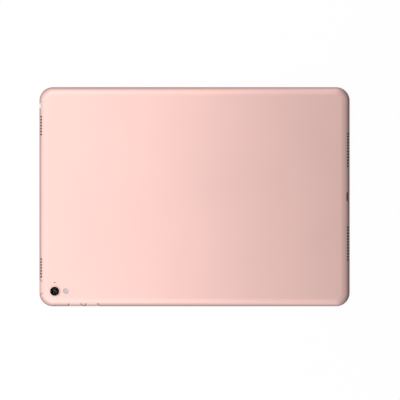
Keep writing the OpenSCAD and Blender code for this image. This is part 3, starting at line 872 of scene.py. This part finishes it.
class TABLET_OT_housing(bpy.types.Operator):
    """Housing: one milled piece with a flat rear, curved edges and every opening"""

    bl_idname = "tablet.housing"
    bl_label = "Housing"

    def execute(self, context):
        sizes = context.scene.tablet_sizes
        shell, surface = Shell(sizes), Surface()
        holes = list(openings(sizes))
        lines = side_lines(shell.outline, holes)
        crown = np.linspace(math.pi / 2, shell.band[-1], 8)[:-1]
        q = np.concatenate([crown, shell.band[::-1]])
        rim, cut, flat = shell.low, shell.chamfer, shell.width + FLAT_INSET
        profile = [(flat, shell.top), *zip(shell.inset(q), shell.height(q))]
        band = len(profile) - len(shell.band)
        profile += [(0.03, rim + cut - 0.05), (cut - 0.04, rim + 0.02), (cut, rim)]
        profile += [(RIM_WIDTH, rim), (RIM_WIDTH, shell.ledge)]
        inner = len(profile)
        profile += [(shell.wall, height) for height in shell.back(shell.height(shell.band))]
        profile += [(flat, shell.plate)]
        walls = shell.outline.sweep(profile, lines)
        surface.grid(walls, self.whole(walls, shell, lines, holes, (band, inner)))
        for hole in holes:
            surface.grid(hole.rows(shell))
        tops, floors = [walls[0]], [walls[-1]]
        for node, radius in REAR_HOLES:
            top, lip = shell.top, min(shell.lip, 0.05)
            edge = [(radius + lip, top), (radius, top - lip), (radius, shell.plate)]
            ring = turned(edge, *middle(node)[:2])
            surface.grid(ring)
            tops.append(ring[0])
            floors.append(ring[-1])
        surface.sheet(*tops)
        surface.sheet(*floors)
        surface.build("housing_shell", "tablet", "rear_housing")
        return {"FINISHED"}

    @staticmethod
    def whole(walls, shell, lines, holes, starts):
        """A mask of the walls' quads, False in the holes' blocks. starts are the rows where the
        band begins on the skin and on the inner wall."""
        keep = np.ones((len(walls) - 1, walls.shape[1]), bool)
        first, steps = 0, len(shell.band) - 1
        for side, marks in enumerate(lines):
            between = (marks[1:] + marks[:-1]) / 2
            for hole in holes:
                if hole.side == side:
                    column = first + np.flatnonzero(hole.covers(between))
                    for start in starts:
                        keep[start : start + steps, column] = False
            first += len(marks) + shell.outline.corner_steps - 1
        return keep


class TABLET_OT_keys(bpy.types.Operator):
    """Side keys: two volume keys and a power key, each with its shaft and flange"""

    bl_idname = "tablet.keys"
    bl_label = "Side keys"

    # The face's slope, the height where it starts, how soft that bend is, and its edge's radius
    slope, bend, softness, edge = 0.58, -0.5, 0.1, 0.08
    # How far the face has fallen at this distance from its middle
    end_fall, end_place = 0.04, 4.6
    # How far the flange goes past the shaft's straight part, its radius and bevel, and the insets
    # of its front and its back
    flange = (0.15, 1.45, 0.07, 4.45, 5.05)

    def execute(self, context):
        """The cap's face is upright below the bend and slopes inwards above it: its inset is the
        key's own and the slope times how far the height is past the bend, rounded over as a
        hyperbola, and its ends fall off with the fourth power of the distance."""
        sizes = context.scene.tablet_sizes
        outline = Shell(sizes).outline
        straight, radius = key_half(sizes)
        face = [(radius * share, 0.0) for share in (0, 0.3, 0.6, 0.915)]
        for turn in np.radians(np.linspace(10, 90, 6)):
            out, back = self.edge * (math.sin(turn) - 1), self.edge * (1 - math.cos(turn))
            face.append((radius + out, back))
        beyond, ring, bevel, front, back = self.flange
        wide = straight + beyond
        shaft = [(straight, radius, front), (wide - 0.05, ring - bevel, front)]
        shaft += [(wide, ring, front + bevel), (wide, ring, back), (wide, 0, back)]
        for side, label, node, body in KEYS:
            along, height = along_side(side, node)
            rows = []
            for around, depth in face:
                ds, dz = pill(straight, around)
                past = dz - self.bend
                inset = self.slope * (past + np.sqrt(past**2 + self.softness)) + depth
                inset += mm(sizes.key_inset) + self.end_fall * (ds / self.end_place) ** 4
                rows.append(outline.at(side, along + ds, inset, height + dz))
            for half, around, inset in shaft:
                ds, dz = pill(half, around)
                rows.append(outline.at(side, along + ds, inset, height + dz))
            surface = Surface()
            surface.grid(np.stack(rows))
            surface.build(label + "_cap", body, node)
        return {"FINISHED"}


class TABLET_OT_sound_meshes(bpy.types.Operator):
    """Sound meshes: a fine black mesh just behind each speaker and microphone hole"""

    bl_idname = "tablet.sound_meshes"
    bl_label = "Sound meshes"

    # Share of the hole's radius, and depth behind the skin
    disc = ((0, 0.13), (0.5, 0.12), (0.98, 0.08), (0.98, 0.4), (0.5, 0.4), (0, 0.4))

    def execute(self, context):
        """A mesh is a thin dished disc. Each row is a circle seen along the hole."""
        sizes = context.scene.tablet_sizes
        shell, surface = Shell(sizes), Surface()
        angle = even_turn(16)
        for side, along, height, radius, _ in sound_holes(sizes):
            rows = []
            for share, depth in self.disc:
                s, z = radius * share * np.cos(angle), radius * share * np.sin(angle)
                rows.append(shell.skin(side, along + s, height + z, depth))
            surface.grid(np.stack(rows))
        node, radius = REAR_HOLES[-1]
        disc = [(share * radius, shell.top - depth) for share, depth in self.disc]
        surface.grid(turned(disc, *middle(node)[:2], angle.size))
        surface.build("sound_mesh_set", "tablet", "speaker_meshes")
        return {"FINISHED"}


class TABLET_OT_cover_glass(bpy.types.Operator):
    """Cover glass: a clear sheet with softened edges and a hole for the home button"""

    bl_idname = "tablet.cover_glass"
    bl_label = "Cover glass"

    def execute(self, context):
        shell, surface = Shell(context.scene.tablet_sizes), Surface()
        _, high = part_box("cover_glass")
        edge, top = shell.outline.reach[0] - mm(high.x), mm(high.z) - 0.01
        profile = [(edge + 0.9, 0), (edge + 0.5, 0), *arc(edge + 0.3, 0.3, 0.3, 270, 180, 6)]
        profile += [*arc(edge + 0.1, top - 0.1, 0.1, 180, 90), (edge + 0.5, top)]
        walls = shell.outline.sweep(profile)
        surface.grid(walls)
        node = "home_button_ring"
        x, y = middle(node)[:2]
        hole = mm(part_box(node)[1].x) - x + 0.04
        ring = turned([(hole + 0.12, 0), *arc(hole + 0.12, 0.12, 0.12, 270, 180)][1:], x, y)
        wall = turned([(hole, 0.12), (hole, top)], x, y)
        surface.grid(ring)
        surface.grid(wall)
        surface.sheet(walls[0], ring[0])
        surface.sheet(walls[-1], wall[-1])
        surface.build("cover_glass_sheet", "tablet", "cover_glass")
        return {"FINISHED"}


def turned_piece(name, body, node, profile, steps=64, look=None):
    """A closed profile of (radius, height) turned round the middle of the node that it stands
    for."""
    surface = Surface()
    surface.grid(turned(profile, *middle(node)[:2], steps))
    surface.build(name, body, node, look)


class TABLET_OT_home_button(bpy.types.Operator):
    """Home button: a dished cap in a polished ring"""

    bl_idname = "tablet.home_button"
    bl_label = "Home button"

    def execute(self, context):
        """The cap's face is a shallow bowl: its height falls with the square of the radius."""
        bowl, back = 4.62, 0.7
        cap = [(r, 0.26 - 0.15 * (r / bowl) ** 2) for r in np.linspace(0, bowl, 9)]
        cap += [*arc(bowl, 0.24, 0.13, 270, 360), (4.75, back), (0, back)]
        turned_piece("home_cap", "home_key", "home_button_cap", cap)
        ring = [(4.79, back), (4.79, 0.16), (4.86, 0.09), (5.24, 0.05), (5.34, 0.08), (5.4, 0.15)]
        ring += [(5.4, back), (4.79, back)]
        turned_piece("home_ring", "home_key", "home_button_ring", ring)
        return {"FINISHED"}


class TABLET_OT_camera(bpy.types.Operator):
    """Rear camera: a raised ring with its window, the barrel behind it and the lens"""

    bl_idname = "tablet.camera"
    bl_label = "Rear camera"

    def execute(self, context):
        """The lens is a dome whose height falls with the square of the radius, and the barrel
        steps down to it in even stairs."""
        ring = [(3.52, 6.45), (3.52, 6.88), (3.55, 6.94), (3.6, 6.98)]
        ring += [*arc(3.66, 6.9, 0.1, 110, 90, 1), *arc(3.9, 6.75, 0.25, 90, 0, 6)]
        ring += [(4.15, 5.7), (3.8, 5.7), (3.8, 6.4), (3.52, 6.45)]
        turned_piece("camera_ring_trim", "tablet", "camera_ring", ring, 96)
        window = [(0, 6.55), (3.42, 6.55), (3.48, 6.59), (3.48, 6.76), (3.44, 6.8), (0, 6.8)]
        turned_piece("camera_window", "tablet", "camera_glass", window, look="coated_window")
        barrel = [(2.85, 3.6), (2.85, 6.15), (3.44, 6.3), (3.44, 6.5), (3.4, 6.53), (2.3, 6.53)]
        barrel += [(2.22, 6.46), (2.18, 6.3)]
        for stair in range(4):
            radius, height = 2.1 - stair * 0.15, 6.3 - stair * 0.1
            barrel += [(radius, height), (radius, height - 0.1)]
        barrel += [(1.46, 5.9), (1.46, 5.5), (1.2, 5.4), (1.2, 3.6), (2.85, 3.6)]
        turned_piece("camera_barrel", "tablet", "camera_lens_barrel", barrel, look="lens_black")
        dome, foot = 1.25, 5.86
        lens = [(r, 5.95 + 0.34 * (1 - (r / dome) ** 2)) for r in np.linspace(0, dome, 8)]
        lens += [(1.39, 5.93), (1.39, foot), (1.2, foot), (0.6, foot), (0, foot)]
        turned_piece("camera_lens", "tablet", "camera_lens_element", lens)
        return {"FINISHED"}


class TABLET_OT_flash(bpy.types.Operator):
    """Flash: a frosted window flush with the rear face over two slanted emitters"""

    bl_idname = "tablet.flash"
    bl_label = "Flash"

    def execute(self, context):
        """An emitter is a superellipse, |u|^4 + |v|^4 = 1 in shares of its half sizes, turned by
        an eighth of a turn. The two lie at the same distance from the middle."""
        node, surface = "flash_leds", Surface()
        top = Shell(context.scene.tablet_sizes).top - 0.01
        window = [(0, 5.45), (2.12, 5.45), (2.2, 5.52), (2.2, top - 0.06), (2.13, top), (0, top)]
        turned_piece("flash_cover", "tablet", "flash_window", window)
        x, y = middle(node)[:2]
        seat = [(0, 4.3), (2.5, 4.3), (2.5, 5.25), (2.1, 5.25), (2.0, 5.2), (0, 5.2)]
        surface.grid(turned(seat, x, y, 48))
        angle = even_turn(40)
        edge = 1 / (np.abs(np.cos(angle)) ** 4 + np.abs(np.sin(angle)) ** 4) ** 0.25
        for apart in (-0.86, 0.86):
            rows = []
            for share, height in ((0, 5.21), (1, 5.21), (1, 5.34), (0.94, 5.38), (0, 5.39)):
                u = 1.25 * share * edge * np.cos(angle)
                v = 0.58 * share * edge * np.sin(angle) + apart
                flat = height + 0 * angle
                rows.append(np.stack([x + (u - v) * DIAGONAL, y + (u + v) * DIAGONAL, flat], -1))
            surface.grid(np.stack(rows))
        surface.build("flash_emitters", "tablet", node, look="flash_emitters")
        return {"FINISHED"}


class TABLET_OT_headphone_trim(bpy.types.Operator):
    """Headphone trim: the pale ring in the headphone hole, cut to follow the curved edge"""

    bl_idname = "tablet.headphone_trim"
    bl_label = "Headphone trim"

    # Radius and depth of the front's rows, and radii and inset of the back's
    front = ((2.14, 0.2), (2.1, 0.15), (1.94, 0.15), (1.86, 0.24))
    outer, bore, back = 2.14, 1.85, 3.6

    def execute(self, context):
        """Each row is a circle seen along the socket: those of the front are laid at a depth
        behind the skin, and those of the back at an inset from the outline."""
        shell, surface = Shell(context.scene.tablet_sizes), Surface()
        along, height = along_side(CAMERA_END, "headphone_socket")
        angle = even_turn(72)

        def seen(radius):
            return along + radius * np.cos(angle), height + radius * np.sin(angle)

        rows = [shell.skin(CAMERA_END, *seen(radius), depth) for radius, depth in self.front]
        outer, bore = (
            shell.outline.at(CAMERA_END, s, self.back, z)
            for s, z in (seen(self.outer), seen(self.bore))
        )
        surface.grid(np.stack([outer, *rows, bore, outer]))
        surface.build("headphone_ring", "tablet", "headphone_trim_ring")
        return {"FINISHED"}


class TABLET_OT_dock_socket(bpy.types.Operator):
    """Dock socket: a dark liner in the slot, closed at its back; its brown tint is painted shade
    of the slot's walls
    """

    bl_idname = "tablet.dock_socket"
    bl_label = "Dock socket"

    # How much thinner than the slot, and how deep, the lip's rows are
    lip = ((0.05, 0.2), (0.09, 0.15), (0.3, 0.15), (0.35, 0.2))

    def execute(self, context):
        """Each row is a stadium seen along the slot, thinner than it by a distance: those of the
        lip are laid at a depth behind the skin, and the others at an inset from the outline. The
        last two rows close the liner's back."""
        sizes = context.scene.tablet_sizes
        shell, surface, node = Shell(sizes), Surface(), "dock_connector_shell"
        along, height = along_side(DOCK_END, node)
        half, radius = mm(sizes.dock_length) / 2, mm(sizes.dock_height) / 2

        def seen(thinner):
            ds, dz = pill(half - radius, radius - thinner, 12, 10)
            return along + ds, height + dz

        def at(thinner, inset):
            s, z = seen(thinner)
            return shell.outline.at(DOCK_END, s, inset, z)

        lip = [shell.skin(DOCK_END, *seen(thinner), depth) for thinner, depth in self.lip]
        outside = at(-0.25, 4.6)
        inside = [at(0.35, 9.9), at(radius, 9.9)]
        surface.grid(np.stack([outside, at(0.05, 4.5), *lip, *inside]))
        surface.grid(np.stack([at(radius, 10.5), at(-0.25, 10.4), outside]))
        # The liner's brown finish is painted shade of the slot's inside
        surface.build("dock_liner", "tablet", node, look="liner_black")
        return {"FINISHED"}


class TABLET_OT_finishes(bpy.types.Operator):
    """Finishes: every other piece keeps its made shape and gets the finish of its material"""

    bl_idname = "tablet.finishes"
    bl_label = "Finishes"

    def execute(self, context):
        for node, piece in frame["nodes"].items():
            if not piece.hide_render:
                piece.data.materials.clear()
                piece.data.materials.append(finish(SLOTS[node]))
        return {"FINISHED"}


# ---- the stage ----

# Light of the soft card: its strength, half of its length, levels by the place along it in metres
# and by the distance across it, and how much darker it is where x y is large
CARD_STRENGTH, CARD_HALF = 1.66, 0.9
CARD_ALONG = (
    (-0.9, 0.95), (-0.65, 0.98), (-0.4, 0.99), (-0.2, 0.99), (-0.1, 1.0), (-0.04, 0.98),
    (0.0, 0.82), (0.04, 0.65), (0.08, 0.53), (0.13, 0.48), (0.22, 0.455), (0.4, 0.44),
    (0.52, 0.41), (0.76, 0.34), (0.9, 0.3),
)
CARD_ACROSS = (
    (0, 0.8), (0.12, 0.8), (0.2, 0.84), (0.3, 0.94), (0.4, 1.0), (0.6, 1.0), (0.75, 0.98),
    (0.9, 0.96),
)
CARD_CORNER, CARD_CORNER_SHADE = (0.12, 0.36), 0.42
# Light of the room: its strength, and levels by the height that a ray looks up to, from -1 for
# straight down to 1 for straight up, towards the two long sides and towards each end
ROOM_STRENGTH = 1.27
ROOM_SIDES = (
    (-1, 0.2), (-0.6, 0.3), (-0.3, 0.5), (0, 0.66), (0.17, 0.78), (0.276, 0.83), (0.45, 0.96),
    (1, 1.0),
)
ROOM_DOCK = ((-1, 0.1), (-0.3, 0.1), (0, 0.155), (0.31, 0.29), (0.53, 0.37), (1, 0.6))
ROOM_CAMERA = (
    (-1, 0.2), (-0.6, 0.32), (-0.3, 0.56), (-0.02, 0.7), (0.07, 0.85), (0.39, 0.95), (1, 1.0),
)
ROOM_CORNER_SHADE = 0.15
BLACK = (0.0, 0.0, 0.0)
PAPER, TABLE_GLOW = 0.991, 0.94
TABLE_HALF, TABLE_HEIGHT = 6.0, -0.3 * MM


def flat_sheet(name, half, height):
    """A level square with a material of its own, which isn't part of the object. Returns both."""
    mesh = bpy.data.meshes.new(name)
    corners = [(-half, -half), (half, -half), (half, half), (-half, half)]
    mesh.from_pydata([(x, y, height) for x, y in corners], [], [(0, 1, 2, 3)])
    material = bpy.data.materials.new(name)
    mesh.materials.append(material)
    sheet = bpy.data.objects.new(name, mesh)
    bpy.context.scene.collection.objects.link(sheet)
    return sheet, Recipe(material)


def levels(recipe, share, low, high, stops):
    """Grey levels with their stops placed from low to high, and a value's share of that span."""
    return recipe.ramp(share, [((place - low) / (high - low), level) for place, level in stops])


class TABLET_OT_stage(bpy.types.Operator):
    """Stage: the camera, the soft card above, the room's light and a pale table"""

    bl_idname = "tablet.stage"
    bl_label = "Stage"

    def execute(self, context):
        scene, stage = context.scene, context.scene.tablet_stage
        data = bpy.data.cameras.new("camera_view")
        data.lens, data.sensor_width = stage.lens, 36
        camera = bpy.data.objects.new("camera_view", data)
        scene.collection.objects.link(camera)
        distance = stage.lens / data.sensor_width * stage.frame_width
        camera.location = (stage.view_x, stage.view_y, distance + MM)
        scene.camera = camera
        scene.view_settings.view_transform = "Standard"
        self.card(stage)
        self.table()
        self.room(scene)
        return {"FINISHED"}

    @staticmethod
    def card(stage):
        """A soft card that the rear face reflects: bright over the camera end, dim over the dock
        end."""
        card, recipe = flat_sheet("light_card", CARD_HALF, stage.card_height)
        card.visible_camera = False
        x, y, _ = recipe.split(recipe.place())
        along = levels(recipe, x / (2 * CARD_HALF) + 0.5, -CARD_HALF, CARD_HALF, CARD_ALONG)
        across = recipe.ramp(abs(y), CARD_ACROSS)
        light = recipe.mix(1.0, along, across, "MULTIPLY")
        light = recipe.mix(abs(x * y).between(*CARD_CORNER) * CARD_CORNER_SHADE, light, BLACK)
        glow = {"Color": light, "Strength": CARD_STRENGTH}
        recipe.end(recipe.node("ShaderNodeEmission", inputs=glow))

    @staticmethod
    def table():
        """Pale paper that gives out most of its own light, and is clear from below."""
        table, recipe = flat_sheet("table_top", TABLE_HALF, TABLE_HEIGHT)
        table.visible_glossy = False
        look = {
            "Base Color": (0.06, 0.06, 0.06),
            "Roughness": 0.9,
            "Specular IOR Level": 0.0,
            "Emission Color": (1, 1, 1),
            "Emission Strength": TABLE_GLOW,
        }
        paper = recipe.node("ShaderNodeBsdfPrincipled", inputs=look)
        clear = recipe.node("ShaderNodeBsdfTransparent")
        under = recipe.node("ShaderNodeNewGeometry").outputs["Backfacing"]
        recipe.end(recipe.either(under, paper, clear))

    @staticmethod
    def room(scene):
        """Light by height, mixed from the long sides' to each end's as a ray turns that way, and
        darker towards the corners. The camera sees plain paper instead."""
        scene.world = scene.world or bpy.data.worlds.new("room")
        recipe = Recipe(scene.world)
        x, y, z = recipe.split(recipe.place("Generated"))
        level = (x * x + y * y + 0.0001) ** 0.5
        height = z * 0.5 + 0.5
        sides, dock, camera = (
            levels(recipe, height, -1, 1, stops) for stops in (ROOM_SIDES, ROOM_DOCK, ROOM_CAMERA)
        )
        toward = x / level
        light = recipe.mix((toward * (toward > 0)) ** 0.75, sides, dock)
        light = recipe.mix(toward * toward * (toward < 0), light, camera)
        corner = abs(x * y) / (level * level) * 2.0
        light = recipe.mix(corner * (z > 0) * ROOM_CORNER_SHADE, light, BLACK)
        lit, paper = (
            recipe.node("ShaderNodeBackground", inputs={"Color": tint, "Strength": strength})
            for tint, strength in ((light, ROOM_STRENGTH), ((PAPER, PAPER, PAPER), 1.0))
        )
        seen = recipe.node("ShaderNodeLightPath").outputs["Is Camera Ray"]
        recipe.end(recipe.either(seen, lit, paper), "ShaderNodeOutputWorld")


# ---- the add-on ----

PIECES = (
    TABLET_OT_stage,
    TABLET_OT_housing,
    TABLET_OT_keys,
    TABLET_OT_sound_meshes,
    TABLET_OT_cover_glass,
    TABLET_OT_home_button,
    TABLET_OT_camera,
    TABLET_OT_flash,
    TABLET_OT_headphone_trim,
    TABLET_OT_dock_socket,
    TABLET_OT_finishes,
)


class TABLET_PT_pieces(bpy.types.Panel):
    """Sidebar panel with the sizes, the colours and a button for each operator"""

    bl_idname = "TABLET_PT_pieces"
    bl_label = "Tablet"
    bl_space_type = "VIEW_3D"
    bl_region_type = "UI"
    bl_category = "Tablet"

    def draw(self, context):
        layout = self.layout
        for group, kind in GROUPS.items():
            box = layout.box()
            for name in kind.__annotations__:
                box.prop(getattr(context.scene, group), name)
        for operator in PIECES:
            layout.operator(operator.bl_idname)


GROUPS = {
    "tablet_sizes": TabletSizes,
    "tablet_colours": TabletColours,
    "tablet_stage": TabletStage,
}
CLASSES = (*GROUPS.values(), *PIECES, TABLET_PT_pieces)


def register():
    for made in CLASSES:
        bpy.utils.register_class(made)
    for name, group in GROUPS.items():
        setattr(bpy.types.Scene, name, bpy.props.PointerProperty(type=group))


def unregister():
    for name in GROUPS:
        delattr(bpy.types.Scene, name)
    for made in reversed(CLASSES):
        bpy.utils.unregister_class(made)


def main():
    """Builds the whole scene."""
    register()
    bpy.ops.tablet.stage()
    bpy.ops.tablet.housing()
    bpy.ops.tablet.keys()
    bpy.ops.tablet.sound_meshes()
    bpy.ops.tablet.cover_glass()
    bpy.ops.tablet.home_button()
    bpy.ops.tablet.camera()
    bpy.ops.tablet.flash()
    bpy.ops.tablet.headphone_trim()
    bpy.ops.tablet.dock_socket()
    bpy.ops.tablet.finishes()


if __name__ == "__main__":
    main()
